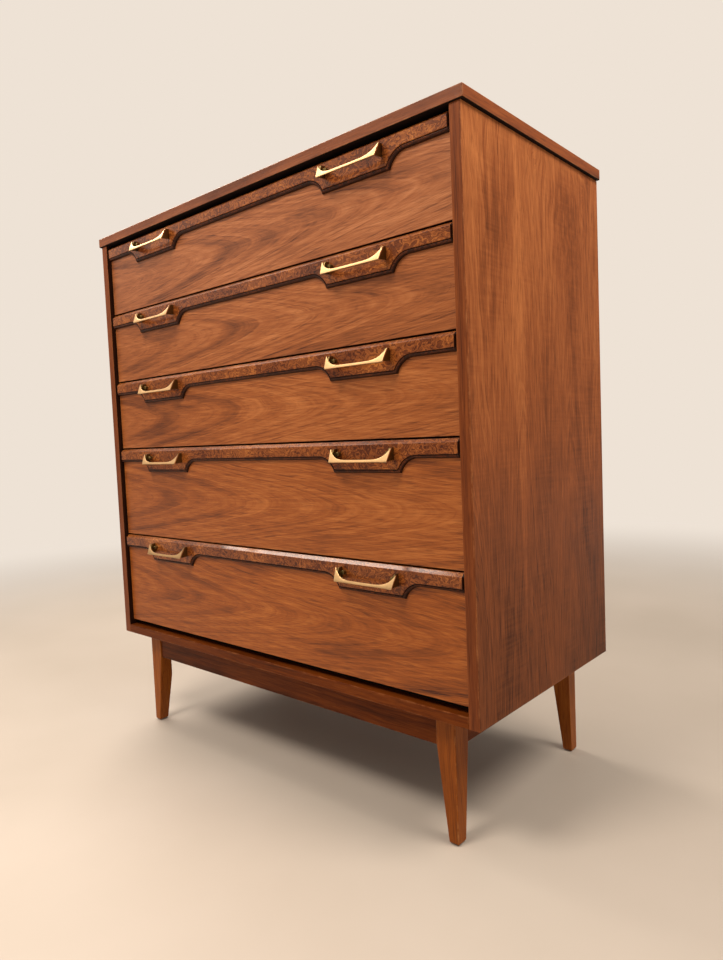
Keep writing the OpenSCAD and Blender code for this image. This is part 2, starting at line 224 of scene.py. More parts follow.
def wood(name, along, palette, heart=(0.0, 0.0), taper=0.0, seed=0.0, box=None, wear=0.5,
         ring=0.0065, line=0.0021, drift=0.012, flame=1.0, contrast=1.0, pores=1.0, ripple=0.0,
         roughness=0.4, veins=1.0, fold=None, wild=None, extra=None, **sockets):
    """Sawn or sliced wood: growth rings round a heart line that runs along the grain, cut by the surface.

    heart is where that line passes, across the grain and in depth, in metres. Taper makes the rings narrow
    along the grain, which draws the pointed arches of flat-cut veneer. palette is dark, middle, light, worn.
    ring and line are the widths of the broad and the fine rings, and drift is how far they wander. flame,
    contrast, veins, pores and ripple set how strongly the smoky arches, the bands, the dark veins, the pores
    and the cross curl show. fold repeats the figure across the grain. wild is a pair of heights between which
    it starts to swirl. wear rubs the edges of box, and extra changes the tone last.
    """
    t = Tree(name, **{"Specular_IOR_Level": 0.25, **sockets})
    dark, middle, light, worn = palette
    u, v, w = swap(t.split(t.place), along)

    def field(kind):
        along_scale, cross_scale, detail, coarse, offset = FIELDS[kind]
        scaled = (t.math("MULTIPLY", c, k) for c, k in
                  ((u, along_scale), (v, cross_scale), (w, cross_scale)))
        return t.noise(t.join(*scaled), detail=detail, roughness=coarse, w=seed + offset)

    def ring_noise(width, detail, coarse, offset):
        return t.line_noise(t.math("DIVIDE", rings, width), detail, coarse, offset)

    # the distance from the heart line, bent by the wander of the grain
    wander = t.math("SUBTRACT", field("wander"), 0.5)
    if wild:
        swirl = t.span(u, *wild, 0.0, 1.7, smooth=True)
        wander = t.math("MULTIPLY_ADD", t.math("SUBTRACT", field("knot"), 0.5), swirl, wander)
    side = t.math("MULTIPLY_ADD", wander, 2 * drift, t.math("SUBTRACT", v, heart[0]))
    if fold:
        side = t.math("PINGPONG", t.math("ADD", side, 8 * fold), fold)
    deep = t.math("SUBTRACT", w, heart[1])
    radius = t.math("SQRT", t.math("ADD", t.math("MULTIPLY", side, side), t.math("MULTIPLY", deep, deep)))
    rings = t.math("MULTIPLY_ADD", u, taper, radius)
    rings = t.math("MULTIPLY_ADD", wander, drift * 0.9, rings)
    rings = t.add(rings, field("waver"), 0.0030)
    # fine lines fade where the surface cuts the rings flat
    slope = t.math("MULTIPLY_ADD", t.math("DIVIDE", t.math("ABSOLUTE", side), radius), 0.75, 0.25, clamp=True)

    bands = ring_noise(ring * 2.9, 1.5, 0.5, 0.4 * seed)
    narrow = ring_noise(ring * 1.1, 2.0, 0.6, 0.4 * seed + 9)
    broad = field("broad")
    smoke = t.span(t.math("MULTIPLY_ADD", broad, 0.9, bands), 0.92, 1.26, smooth=True)
    fine = t.span(ring_noise(line, 3.0, 0.7, 0.9 * seed), 0.3, 0.7)
    fine = t.math("MULTIPLY", t.math("SUBTRACT", fine, 0.5), slope)
    crest = t.math("ABSOLUTE", t.math("SUBTRACT", ring_noise(line * 3.4, 2.0, 0.6, 0.9 * seed + 4), 0.5))
    crest = t.math("MULTIPLY", t.span(crest, 0.0, 0.034, 1.0, 0.0), slope)
    crest = t.math("MULTIPLY", crest, t.span(field("broken"), 0.44, 0.62))
    fibres, blotch = field("fibres"), field("blotch")
    dashes = t.span(field("dashes"), 0.56, 0.70)
    pore = t.span(field("pores"), 0.58, 0.72)

    tone = t.math("MULTIPLY_ADD", smoke, -0.40 * flame * contrast, 0.55)
    for figure, weight, mean in (
        (bands, 0.20 * contrast, 0.5), (narrow, 0.30 * contrast, 0.5), (fine, 0.20, 0.0),
        (crest, -0.36 * veins, 0.0), (field("streaks"), 0.44 * contrast, 0.5), (fibres, 0.56, 0.5),
        (blotch, 0.38, 0.5),
    ):
        tone = t.add(tone, figure, weight, mean)
    if ripple:
        curl = t.math("MULTIPLY", t.math("SUBTRACT", field("curl"), 0.5), t.span(broad, 0.4, 0.65))
        tone = t.add(tone, curl, ripple, 0.0)
    if extra:
        tone = extra(t, tone, wander)
    colour = t.ramp(tone, (0.04, dark), (0.5, middle), (0.94, light))
    colour = t.mix(t.math("MULTIPLY", dashes, 0.34 * pores), colour, dark)
    colour = t.mix(t.math("MULTIPLY", pore, 0.30 * pores), colour, dark)
    rough = t.add(t.add(roughness, blotch, 0.16), fine, 0.08, 0.0)
    if box and wear:
        rub = t.noise(t.place, scale=34.0, detail=5.0, roughness=0.7, w=seed + 2)
        rubbed = t.math("MULTIPLY", t.edge(*box, RUB_WIDTH), t.span(rub, 0.47, 0.68), clamp=True)
        rubbed = t.math("MULTIPLY", rubbed, wear)
        colour = t.mix(rubbed, colour, worn)
        rough = t.math("MULTIPLY_ADD", rubbed, 0.18, rough)
    relief = t.math("MULTIPLY_ADD", crest, -0.4, t.math("MULTIPLY", pore, -0.7 * pores))
    relief = t.math("MULTIPLY_ADD", fibres, 0.35, relief)
    return t.finish(colour, rough, relief, 0.3, 0.00022)


BURL_COLOURS = ((0.02, linear(42, 16, 4)), (0.32, linear(94, 43, 15)),
                (0.60, linear(148, 82, 34)), (0.95, linear(210, 136, 66)))


def burl(name, shade=0.0, gloss=0.3):
    """Burl veneer: tight swirls and eyes in red-brown. shade darkens it, gloss is its lacquer's weight."""
    t = Tree(name, Coat_Weight=gloss, Coat_Roughness=0.12, Specular_IOR_Level=0.16)
    pulled = t.vector("MULTIPLY", t.place, (0.72, 1.0, 1.0))
    bend = t.noise(pulled, scale=24.0, detail=3.0, roughness=0.6, output=1)
    bend = t.vector("SUBTRACT", bend, (0.5, 0.5, 0.5))
    bent = t.vector("ADD", pulled, t.vector("MULTIPLY", bend, (0.06, 0.06, 0.06)))
    clouds = t.noise(bent, scale=26.0, detail=5.0, roughness=0.6, w=2.0)
    eyes = t.node("ShaderNodeTexVoronoi", {"Vector": bent, "Scale": 48.0}).outputs["Distance"]
    swirl = t.math("MULTIPLY_ADD", clouds, 5.0, t.math("MULTIPLY", eyes, 1.5))
    curls = t.span(t.math("PINGPONG", t.math("MULTIPLY", swirl, 2.0), 0.5), 0.05, 0.45, smooth=True)
    threads = t.span(t.math("PINGPONG", t.math("MULTIPLY", swirl, 5.0), 0.5), 0.04, 0.30, smooth=True)
    hair = t.noise(bent, scale=300.0, detail=3.0, roughness=0.65, w=5.0)
    patch = t.noise(pulled, scale=13.0, detail=2.0, w=8.0)
    knots = t.span(eyes, 0.0, 0.16, 1.0, 0.0, smooth=True)
    tone = 0.41 - shade
    for figure, weight, mean in (
        (curls, 0.24, 0.5), (threads, 0.20, 0.5), (clouds, 0.36, 0.5), (patch, 0.80, 0.5), (hair, 0.22, 0.5),
        (knots, -0.16, 0.0),
    ):
        tone = t.add(tone, figure, weight, mean)
    colour = t.ramp(tone, *BURL_COLOURS)
    rough = t.add(0.38, hair, 0.12)
    return t.finish(colour, rough, t.math("MULTIPLY_ADD", curls, 0.4, hair), 0.14, 0.0002)


BRUSH = (60.0, 900.0, 900.0)  # the brush lines run along X


def metal(name, colour, shade, roughness, spots=0.35):
    """Cast and brushed metal: fine brush lines, soft dark spots and uneven polish."""
    t = Tree(name, Metallic=1.0)
    brushed = t.noise(t.vector("MULTIPLY", t.place, BRUSH), detail=2.0, roughness=0.6)
    film = t.noise(t.place, scale=70.0, detail=4.0, roughness=0.65, w=3.0)
    tarnish = t.span(film, 0.50, 0.74, 0.0, spots, smooth=True)
    worn = t.mix(tarnish, colour, shade)
    worn = t.mix(t.span(brushed, 0.3, 0.7, 0.0, 0.12), worn, shade)
    rough = t.add(t.add(roughness, brushed, 0.14), tarnish, 0.25, 0.0)
    return t.finish(worn, rough, brushed, 0.12, 0.0001)


# ---- finishes -----------------------------------------------------------------

# Palettes of the woods: dark, middle, light and worn.
WALNUT = (linear(72, 32, 14), linear(155, 88, 45), linear(204, 132, 80), linear(200, 138, 90))
SLAB_EDGE = (linear(62, 28, 12), linear(120, 64, 33), linear(160, 94, 54), linear(204, 146, 96))
SIDE_EDGE = (linear(62, 27, 10), linear(137, 70, 29), linear(176, 102, 48), linear(204, 146, 96))
EDGE_WALNUT = (linear(62, 27, 10), linear(116, 58, 25), linear(156, 88, 42), linear(190, 128, 80))
RED_WALNUT = (linear(48, 18, 3), linear(98, 44, 10), linear(142, 74, 24), linear(176, 112, 64))
SIDE_WALNUT = (linear(56, 22, 5), linear(145, 80, 41), linear(198, 124, 70), linear(196, 132, 80))
LEG_WALNUT = (linear(74, 32, 8), linear(142, 74, 20), linear(180, 108, 38), linear(205, 145, 88))
MAPLE = (linear(150, 112, 74), linear(196, 160, 116), linear(216, 184, 142), linear(226, 200, 165))
POPLAR = (linear(140, 112, 76), linear(182, 154, 112), linear(204, 178, 138), linear(214, 190, 155))
PLY = (linear(128, 90, 58), linear(176, 134, 92), linear(200, 160, 118), linear(212, 180, 140))
INNER_SHADE_WALNUT = (linear(18, 8, 4), linear(44, 21, 10), linear(70, 37, 19), linear(90, 50, 28))
UNDERSIDE_SHADE_COLOURS = (linear(10, 5, 3), linear(22, 12, 8), linear(40, 22, 14), linear(60, 36, 22))
SHADED_POPLAR = ((0.012, 0.005, 0.003, 1.0),) + POPLAR[1:]
SATIN = dict(Coat_Weight=0.05, Coat_Roughness=0.25)
DULL = dict(Specular_IOR_Level=0.08)

burl_veneer = burl("burl_veneer")
# Painted shade for the undersides of the top and of the drawer fronts.
underside_shade = wood("underside_painted_shade", X, UNDERSIDE_SHADE_COLOURS, heart=(0.4, 0.3), seed=2.9, roughness=0.7, Specular_IOR_Level=0.1)
# The bevel: glossier lacquer, and a slightly lighter tone as a painted highlight.
bevel_burl = burl("burl_bevel", -0.04, 0.85)
# Painted shade: a darker burl for the bead of the moulding.
shaded_bead_burl = burl("burl_bead_painted_shade", 0.34, 0.05)
# Painted shade: a near-black burl for the moulding's underside, its groove and the ends of the rails.
painted_shade_burl = burl("burl_painted_shade", 0.60, 0.02)
brass = metal("brass", linear(228, 188, 136), linear(146, 106, 64), 0.35)
# Darker brass for the pulls' back faces: painted shade.
shaded_brass = metal("brass_shade", linear(128, 108, 66), linear(62, 50, 30), 0.38, spots=0.6)
steel = metal("steel", linear(188, 186, 180), linear(90, 84, 78), 0.34)


# ---- pieces -------------------------------------------------------------------

def piece(name, mesh, body, materials, replaced, location=(0, 0, 0)):
    """A new object that rides on a body and stands for a CAD node."""
    o = bpy.data.objects.new(name, mesh)
    scene.collection.objects.link(o)
    o.location = location
    for material in materials:
        if material.name not in [m.name for m in mesh.materials]:
            mesh.materials.append(material)
    normals = o.modifiers.new("normals", "WEIGHTED_NORMAL")
    normals.keep_sharp = True
    normals.weight = 80
    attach(o, body)
    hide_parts(*replaced)
    return o


def mesh_of(bm, name, sharp=35):
    """The finished mesh, smooth except across edges sharper than the given angle in degrees."""
    bmesh.ops.recalc_face_normals(bm, faces=bm.faces)
    mesh = bpy.data.meshes.new(name)
    for face in bm.faces:
        face.smooth = True
    for edge in bm.edges:
        edge.smooth = len(edge.link_faces) == 2 and edge.calc_face_angle(0) < math.radians(sharp)
    bm.to_mesh(mesh)
    bm.free()
    return mesh


def loft(bm, rings, materials=None):
    """Joins closed rows of points, equally long, into a capped skin. materials gives the strips' slots."""
    rows = [[bm.verts.new(p) for p in ring] for ring in rings]
    count = len(rows[0])
    for a, b in zip(rows, rows[1:]):
        for j in range(count):
            k = (j + 1) % count
            face = bm.faces.new((a[j], a[k], b[k], b[j]))
            if materials:
                face.material_index = materials[j]
    bm.faces.new(rows[0])
    bm.faces.new(list(reversed(rows[-1])))


def paint(node, material):
    """Puts a material on a CAD node."""
    slots = frame["nodes"][node].data.materials
    slots.clear()
    slots.append(material)


def refined(node, material, width, segments=2, trim=None, trim_faces=()):
    """A piece in the shape of a CAD node, with its edges rounded by width.

    Faces that look along one of trim_faces get the material trim.
    """
    bm = bmesh.new()
    bm.from_mesh(frame["nodes"][node].data)
    bmesh.ops.remove_doubles(bm, verts=bm.verts, dist=1e-6)
    bmesh.ops.dissolve_limit(bm, angle_limit=math.radians(2), verts=bm.verts, edges=bm.edges)
    sharp = [e for e in bm.edges if e.is_manifold and e.calc_face_angle() > math.radians(12)]
    bmesh.ops.bevel(bm, geom=sharp, offset=width, segments=segments, profile=0.5, affect="EDGES",
                    miter_outer="ARC", clamp_overlap=True)
    bm.normal_update()
    for face in bm.faces:
        face.material_index = int(any(face.normal.dot(Vector(d)) > 0.8 for d in trim_faces))
    materials = (material, trim) if trim else (material,)
    return piece(f"{node}_wood", mesh_of(bm, node), body_of[node], materials, [node])


def board_mesh(low, high, width, segments=3):
    """A board between two corners, with its edges rounded by width."""
    bm = bmesh.new()
    box = Matrix.Translation((low + high) / 2) @ Matrix.Diagonal((*(high - low), 1))
    bmesh.ops.create_cube(bm, size=1.0, matrix=box)
    bmesh.ops.bevel(bm, geom=list(bm.edges), offset=width, segments=segments, profile=0.5, affect="EDGES")
    return bm


def boolean(operation, parts):
    """One closed mesh from several: the first part joined with the others, or cut by them."""
    objects = []
    for bm in parts:
        mesh = bpy.data.meshes.new("part")
        bmesh.ops.recalc_face_normals(bm, faces=bm.faces)
        bm.to_mesh(mesh)
        bm.free()
        objects.append(bpy.data.objects.new("part", mesh))
        scene.collection.objects.link(objects[-1])
    for other in objects[1:]:
        step = objects[0].modifiers.new("boolean", "BOOLEAN")
        step.operation = operation
        step.solver = "EXACT"
        step.object = other
    evaluated = objects[0].evaluated_get(bpy.context.evaluated_depsgraph_get())
    made = bpy.data.meshes.new_from_object(evaluated)
    for o in objects:
        bpy.data.objects.remove(o)
    bm = bmesh.new()
    bm.from_mesh(made)
    return bm


def prism(outline, axis, start, end):
    """A closed prism: outline holds pairs in the two other axes, in order."""
    def place(pair, at):
        point = list(pair)
        point.insert(axis, at)
        return point
    bm = bmesh.new()
    loft(bm, [[place(pair, at) for pair in outline] for at in (start, end)])
    return bm


# ---- burl rails ---------------------------------------------------------------

# Millimetres: x from the middle of the dresser, y back from the rail's face, z up from its top edge. COVE is
# the radius of the coves beside the tabs, whose middles lie at PULL_AT on both sides.
PULL_AT = 281.0
RAIL_HEIGHT = 28.8
RAIL_DEPTH = 6.5
TAB_HEIGHT = 51.0
TAB_HALF = 70.5
COVE = 33.5
ARC_STEPS = 12
BEVEL = 5.5
# The ends: how much shorter than the CAD's, how far back, how long their slope is, and the band of painted
# shade.
END_GAP = 0.8
END_BACK = 2.2
END_RUN = 1.8
END_BAND = 0.95
# The rail's slots: the burl face, painted shade, the bead in painted shade, and the glossy bevel with a
# painted highlight.
BURL, PAINTED_SHADE, SHADED_BEAD, LACQUER_AND_HIGHLIGHT = range(4)
# The moulding of the lower edge: how far in from the outline, how far back, the slot of the strip after it.
# The underside, the groove and the bead of the moulding get painted shade.
MOULDING = [
    (0.0, RAIL_DEPTH, PAINTED_SHADE), (0.1, 5.2, PAINTED_SHADE), (0.4, 4.1, PAINTED_SHADE), (0.9, 3.1, PAINTED_SHADE), (1.5, 2.3, SHADED_BEAD),
    (2.0, 1.7, SHADED_BEAD), (2.7, 1.1, SHADED_BEAD), (3.5, 0.8, SHADED_BEAD), (4.1, 0.9, PAINTED_SHADE), (4.4, 1.3, PAINTED_SHADE),
    (4.7, 2.0, PAINTED_SHADE), (5.3, 2.0, PAINTED_SHADE), (5.7, 1.1, BURL), (6.1, 0.3, BURL), (6.6, 0.0, BURL),
]
# The bevel of the upper edge: how far back, how far up, the slot of the strip after it.
# The bevel's strips are a little lighter than the face, a painted highlight, and glossier.
TOP_EDGE = [
    (0.0, -BEVEL - 0.5, BURL), (0.18, -BEVEL, LACQUER_AND_HIGHLIGHT), (0.55, -BEVEL + 0.5, LACQUER_AND_HIGHLIGHT),
    (RAIL_DEPTH - 0.5, -0.5, LACQUER_AND_HIGHLIGHT), (RAIL_DEPTH - 0.2, -0.1, BURL), (RAIL_DEPTH, 0.0, BURL),
]


def lower_edge(inset, half_width):
    """The lower outline of a rail, shrunk by inset: straight runs, coves and tabs, from left to right."""
    drop = TAB_HEIGHT - RAIL_HEIGHT
    top_half = TAB_HALF + COVE * math.sin(math.acos(1 - drop / COVE))
    radius = COVE + inset
    reach = math.acos(1 - drop / radius)
    arc = [reach * k / ARC_STEPS for k in range(ARC_STEPS + 1)]

    def cove(centre, side, a):
        return (centre + side * (top_half - radius * math.sin(a)),
                -RAIL_HEIGHT + inset - radius * (1 - math.cos(a)))

    straight = -RAIL_HEIGHT + inset
    points = [(-half_width, straight), (-half_width + END_RUN, straight)]
    for centre in (-PULL_AT, PULL_AT):
        points += [cove(centre, -1, a) for a in arc]
        points += [cove(centre, 1, a) for a in reversed(arc)]
    return points + [(half_width - END_RUN, straight), (half_width, straight)]


def burl_rail(i):
    """A rail lofted from end to end, with its moulded lower edge and bevelled upper edge."""
    low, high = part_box(f"drawer_{i}_burl_rail")
    half_width = high[X] / MM - END_GAP
    edges = [lower_edge(inset, half_width) for inset, _, _ in MOULDING]
    count = len(edges[0])
    rings = []
    for k in range(count):
        ring = [(edge[k][0], y, edge[k][1]) for edge, (_, y, _) in zip(edges, MOULDING)]
        x = ring[-1][0]
        ring += [(x, y, z) for y, z, _ in TOP_EDGE]
        if k in (0, count - 1):
            ring = [(x, max(y, END_BACK), z) for x, y, z in ring]
        rings.append([(x * MM, low[Y] + y * MM, high[Z] + z * MM) for x, y, z in ring])
    bm = bmesh.new()
    loft(bm, rings, [slot for _, _, slot in MOULDING + TOP_EDGE])
    # the ends of the rail get painted shade
    for face in bm.faces:
        if abs(face.calc_center_median().x) > (half_width - END_BAND) * MM:
            face.material_index = PAINTED_SHADE
    piece(f"drawer_{i}_rail", mesh_of(bm, f"drawer_{i}_rail", sharp=28), f"drawer_{i}",
          (burl_veneer, painted_shade_burl, shaded_bead_burl, bevel_burl), [f"drawer_{i}_burl_rail"])


for i in DRAWERS:
    burl_rail(i)


# ---- pulls, screws and glides ---------------------------------------------------

# Millimetres, from the middle of a pull's lower edge, at the face of the rail. The face leans back by LEAN
# from FACE_AT. It is BAR high in the middle and FACE high at the tips, and rises with the power BOW. The
# lower edge lies PULL_DROP below the top of the rail. Faces further back than SHADE_BEHIND get painted shade,
# darker brass.
HALF_PULL = 61.0
TIP = 64.0
REACH = 20.0
METAL = 3.0
SHEET = 2.2
LEAN = math.atan(10 / 22)
FACE = 22 / math.cos(LEAN)
FACE_AT = 0.25 - REACH
BAR = 4.6
BOW = 6.2
SIDE_STEPS = 28
PULL_DROP = 32.6
BOSS_RISE = 13
BOSS_RADIUS = 3.4
BOSS_AT = HALF_PULL - METAL - 5.5
SHADE_BEHIND = 1.1
WELD = 0.001
# The section of the face: share of the way up, and how far back from its front.
SECTION = [
    (0.0, 0.7), (0.03, 0.25), (0.10, 0.02), (0.5, -0.25), (0.90, 0.02), (0.97, 0.3), (1.0, 0.8),
    (1.0, SHEET - 0.5), (0.96, SHEET), (0.04, SHEET), (0.0, SHEET - 0.5),
]
# The corners of an end plate: how far back and how far up.
PLATE = [(-REACH + 2.0, 0.6), (0, 2.0), (0, 22.0), (-REACH + 11.4, 20.8)]
PLATE_ROUND = 0.6


def pull_mesh():
    """The leaning face of a cast pull, with a hollow upper edge and pointed tips."""
    bm = bmesh.new()
    rings = []
    for k in range(-SIDE_STEPS, SIDE_STEPS + 1):
        t = math.sin(math.pi / 2 * k / SIDE_STEPS)
        height = BAR + (FACE - BAR) * abs(t) ** BOW
        crown = 0.35 + 0.65 * abs(t) ** 6
        ring = []
        for share, back in SECTION:
            x = t * (HALF_PULL + (TIP - HALF_PULL) * share * height / FACE)
            up = share * height
            depth = back * crown if back < 0 else back
            ring.append((x, FACE_AT + up * math.sin(LEAN) + depth * math.cos(LEAN),
                         up * math.cos(LEAN) - depth * math.sin(LEAN)))
        rings.append(ring)
    loft(bm, rings)
    return bm


def plate_mesh(side):
    """An end plate, with rounded edges."""
    bm = bmesh.new()
    front = [bm.verts.new((side * (HALF_PULL - METAL), y, z)) for y, z in PLATE]
    back = [bm.verts.new((side * (HALF_PULL - 0.1), y, z)) for y, z in PLATE]
    bm.faces.new(front)
    bm.faces.new(list(reversed(back)))
    for k in range(4):
        j = (k + 1) % 4
        bm.faces.new((front[k], back[k], back[j], front[j]))
    bmesh.ops.recalc_face_normals(bm, faces=bm.faces)
    bmesh.ops.bevel(bm, geom=list(bm.edges), offset=PLATE_ROUND, segments=2, profile=0.5, affect="EDGES")
    return bm


def boss_meshes(side):
    """The round boss behind one end of a pull, and the web that joins it to the end plate."""
    boss, web = bmesh.new(), bmesh.new()
    lathe(boss, [(2.9, 7.0), (BOSS_RADIUS, 6.4), (BOSS_RADIUS, 0.0)],
          (side * BOSS_AT, 0, BOSS_RISE), (0, -1, 0), 28)
    bmesh.ops.create_cube(
        web, size=1.0, matrix=Matrix.Translation((side * (BOSS_AT + 3.6), -3.45, BOSS_RISE))
        @ Matrix.Diagonal((7.2, 6.9, 5.6, 1)))
    return [boss, web]


def lathe(bm, profile, centre, axis, steps=20):
    """A turned solid: profile holds (radius, distance along the axis) pairs from one end to the other."""
    turn = Vector((0, 0, 1)).rotation_difference(Vector(axis)).to_matrix()
    angles = [2 * math.pi * k / steps for k in range(steps)]
    loft(bm, [
        [Vector(centre) + turn @ Vector((radius * math.cos(a), radius * math.sin(a), along)) for a in angles]
        for radius, along in profile
    ])


def in_metres(bm):
    """The mesh of a part drawn in millimetres, brought to metres."""
    bmesh.ops.scale(bm, vec=(MM, MM, MM), verts=bm.verts)
    return bm


cast = boolean("UNION", [pull_mesh(), plate_mesh(-1), plate_mesh(1)] + boss_meshes(-1) + boss_meshes(1))
bmesh.ops.remove_doubles(cast, verts=cast.verts, dist=WELD)
pull = mesh_of(in_metres(cast), "pull", sharp=32)
# faces behind the front get the darker brass of painted shade
for face in pull.polygons:
    behind = face.center.y / MM - FACE_AT - face.center.z / MM * math.tan(LEAN)
    face.material_index = int(behind > SHADE_BEHIND)


# Screws: the radius of the thread's crests and roots, and its pitch, in millimetres.
CREST, ROOT = 1.95, 1.6
PITCH = 1.0


def screw_mesh(centres, start, head_at):
    """The screws of one drawer: a threaded shank and a domed head."""
    bm = bmesh.new()
    for x, z in centres:
        ridges = [(1.35, start)]
        k = 0
        while ridges[-1][1] < head_at - 3.0:
            ridges += [(CREST, start + 0.5 + k), (ROOT, start + PITCH + k)]
            k += PITCH
        head = [(1.9, head_at - 1.5), (1.9, head_at), (4.5, head_at), (4.5, head_at + 0.7),
                (4.1, head_at + 1.6), (3.2, head_at + 2.2), (1.8, head_at + 2.45), (0.9, head_at + 2.5)]
        lathe(bm, ridges + head, (x, 0, z), (0, 1, 0))
    return bm


for i in DRAWERS:
    low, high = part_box(f"drawer_{i}_burl_rail")
    face, top = low[Y], high[Z]
    for side, name in ((-1, "left"), (1, "right")):
        place = (side * PULL_AT * MM, face, top - PULL_DROP * MM)
        piece(f"drawer_{i}_handle_{name}", pull, f"drawer_{i}", (brass, shaded_brass),
              [f"drawer_{i}_pull_{name}"], place)
    first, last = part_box(f"drawer_{i}_pull_screws")
    centres = [(side * PULL_AT + end * BOSS_AT, (top / MM) - PULL_DROP + BOSS_RISE)
               for side in (-1, 1) for end in (-1, 1)]
    bm = in_metres(screw_mesh(centres, first[Y] / MM, last[Y] / MM - 2.5))
    piece(f"drawer_{i}_screws", mesh_of(bm, f"drawer_{i}_screws"), f"drawer_{i}", (steel,),
          [f"drawer_{i}_pull_screws"])

# Glides: domed steel discs under the feet. The profile holds radius and height, in metres.
GLIDE = [(0.0045, 0.0), (0.0062, 0.0003), (0.0074, 0.0010), (0.0080, 0.0019), (0.0080, 0.0025)]
GLIDE_RADIUS = 0.008
low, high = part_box("glides")
bm = bmesh.new()
for x in (low[X] + GLIDE_RADIUS, high[X] - GLIDE_RADIUS):
    for y in (low[Y] + GLIDE_RADIUS, high[Y] - GLIDE_RADIUS):
        lathe(bm, GLIDE, (x, y, 0), (0, 0, 1), 32)
piece("floor_glides", mesh_of(bm, "floor_glides"), "case", (steel,), ["glides"])


# ---- case, legs and drawers -----------------------------------------------------

# Only the outer and front faces of this box lie on the side panels, so only their front corners are rubbed
# lighter:
# partly wear, partly a painted highlight along the arris.
SIDES_BOX = (Vector((-0.483, -0.2195, 0.2)), Vector((0.483, 0.3, 1.2)))
upright_edge = wood("walnut_edge_upright", Z, EDGE_WALNUT, heart=(0.4, 0.9), seed=6.1, drift=0.004, flame=0.2,
                    box=SIDES_BOX, wear=0.7, roughness=0.42, Specular_IOR_Level=0.14)
long_edge = wood("walnut_edge_long", X, SLAB_EDGE, heart=(0.9, 0.3), seed=6.6, drift=0.005,
                 box=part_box("top_panel"), wear=0.6, roughness=0.42)
cross_edge = wood("walnut_edge_cross", Y, SIDE_EDGE, heart=(0.9, 0.3), seed=6.9, drift=0.005,
                  box=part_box("top_panel"), wear=0.6, roughness=0.42)

# Clouds in the veneer of the sides: depth, height, radius and how much darker.
CLOUDS = [(0.105, 0.965, 0.10, 0.16), (-0.135, 0.985, 0.07, 0.09), (-0.17, 1.035, 0.06, -0.10)]
# The pale spear: its depth, and the heights of its ends and of its widest part.
SPEAR_AT = -0.072
SPEAR_BOTTOM, SPEAR_WIDEST, SPEAR_TOP = 0.29, 0.86, 1.02


def side_figure_and_shade(t, tone, wander):
    """The side's own marks, a long pale spear in the veneer and clouds, and painted shade: a darker, browner
    tone towards the foot.
    """
    x, y, z = t.split(t.place)
    half = t.math("MULTIPLY", t.span(z, SPEAR_BOTTOM, SPEAR_WIDEST, 0.001, 0.022),
                  t.span(z, SPEAR_WIDEST, SPEAR_TOP, 1.0, 0.25))
    off = t.math("ABSOLUTE", t.math("MULTIPLY_ADD", wander, 0.02, t.math("SUBTRACT", y, SPEAR_AT)))
    spear = t.span(t.math("DIVIDE", off, half), 0.6, 1.3, 1.0, 0.0, smooth=True)
    tone = t.add(tone, spear, 0.10, 0.0)
    curl = t.noise(t.join(x, y, t.math("MULTIPLY", z, 0.7)), scale=38.0, detail=4.0, roughness=0.65, w=4.0)
    curl = t.span(t.math("ABSOLUTE", t.math("SUBTRACT", curl, 0.5)), 0.0, 0.14, 1.4, 0.6)
    for depth, height, radius, amount in CLOUDS:
        flat = t.math("MULTIPLY", t.math("SUBTRACT", z, height), 0.6)
        away = t.vector("LENGTH", t.join(0.0, t.math("SUBTRACT", y, depth), flat), output=1)
        cloud = t.span(t.math("MULTIPLY_ADD", wander, 0.12, away), 0.0, radius, 1.0, 0.0, smooth=True)
        tone = t.add(tone, t.math("MULTIPLY", cloud, curl), -amount, 0.0)
    # painted shade: darker towards the foot, a little lighter near the top
    height = t.math("MULTIPLY_ADD", wander, 0.25, z)
    return t.math("ADD", tone, t.span(height, 0.25, 1.05, -0.30, 0.12))


# Painted shade for the inner faces of the side panels.
inner_shade_wood = wood("walnut_inner_painted_shade", Z, INNER_SHADE_WALNUT, taper=0.06, seed=8.3, roughness=0.6,
                  Specular_IOR_Level=0.1)
for side, node in ((-1, "side_panel_left"), (1, "side_panel_right")):
    veneer = wood(
        f"walnut_{node}", Z, SIDE_WALNUT, heart=(SPEAR_AT, side * 0.460), taper=0.085, seed=1.3 + side * 0.4,
        box=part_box(node), ring=0.0085, line=0.0024, drift=0.026, ripple=0.26, contrast=0.55, veins=0.5,
        roughness=0.46, fold=0.0875, wild=(0.93, 1.06), extra=side_figure_and_shade, Specular_IOR_Level=0.10,
        Coat_Weight=0.03, Coat_Roughness=0.25)
    panel = refined(node, veneer, 0.0008, 3, upright_edge, (FRONT, BACK))
    # the inner faces get painted shade
    panel.data.materials.append(inner_shade_wood)
    for face in panel.data.polygons:
        if face.normal.x * side < -0.8:
            face.material_index = 2


# Dovetails: their number in each drawer, how much narrower their roots are than their tips, the gap round a
# joint, the thickness of the sides, how far a cutter reaches past a face, and the radius of a screw hole.
TAIL_COUNT = {1: 4, 2: 4, 3: 4, 4: 5, 5: 5}
TAIL_SLOPE = 0.002
JOINT = 0.0001
BOARD = 0.012
PAST = 0.001
SCREW_HOLE = 0.0023


